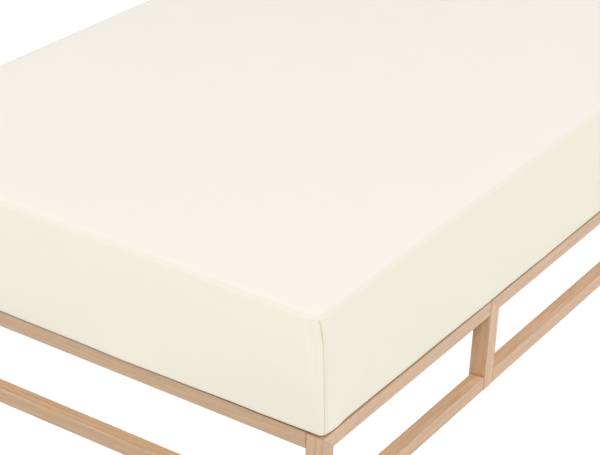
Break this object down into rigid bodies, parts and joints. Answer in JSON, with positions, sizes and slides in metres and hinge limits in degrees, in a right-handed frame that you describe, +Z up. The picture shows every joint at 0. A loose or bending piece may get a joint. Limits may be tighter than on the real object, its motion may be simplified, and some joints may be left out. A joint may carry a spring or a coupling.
{
  "type": "fitted sheet on a mattress and low wooden bed frame",
  "caption": "Cream fitted sheet stretched smooth over a mattress, with sewn corners and a hem tucked under, on a low bed frame of square wooden bars with cross slats.",
  "frame": {"origin": "on the floor, at the middle of the bed's outline", "axes": "+X across the bed, +Y along the bed from the near end to the far end, +Z up"},
  "size_m": [1.2, 2.002, 0.4398],
  "materials": {
    "cream_cotton": "matt, fine knit",
    "ticking": "matt",
    "light_wood": "satin, straight fine grain"
  },
  "bodies": {
    "root": {"sheet": "cream_cotton", "mattress": "ticking", "post_near_left": "light_wood", "post_near_right": "light_wood", "post_far_left": "light_wood", "post_far_right": "light_wood", "mid_post_near_left": "light_wood", "mid_post_near_right": "light_wood", "mid_post_far_left": "light_wood", "mid_post_far_right": "light_wood", "top_rail_near_end": "light_wood", "top_rail_far_end": "light_wood", "top_rail_near_left": "light_wood", "top_rail_near_right": "light_wood", "top_rail_middle_left": "light_wood", "top_rail_middle_right": "light_wood", "top_rail_far_left": "light_wood", "top_rail_far_right": "light_wood", "floor_rail_near_end": "light_wood", "floor_rail_far_end": "light_wood", "floor_rail_near_left": "light_wood", "floor_rail_near_right": "light_wood", "floor_rail_middle_left": "light_wood", "floor_rail_middle_right": "light_wood", "floor_rail_far_left": "light_wood", "floor_rail_far_right": "light_wood", "ledge_left": "light_wood", "ledge_right": "light_wood", "slat_01": "light_wood", "slat_02": "light_wood", "slat_03": "light_wood", "slat_04": "light_wood", "slat_05": "light_wood", "slat_06": "light_wood", "slat_07": "light_wood", "slat_08": "light_wood", "slat_09": "light_wood", "slat_10": "light_wood", "slat_11": "light_wood", "slat_12": "light_wood"}
  },
  "joints": []
}
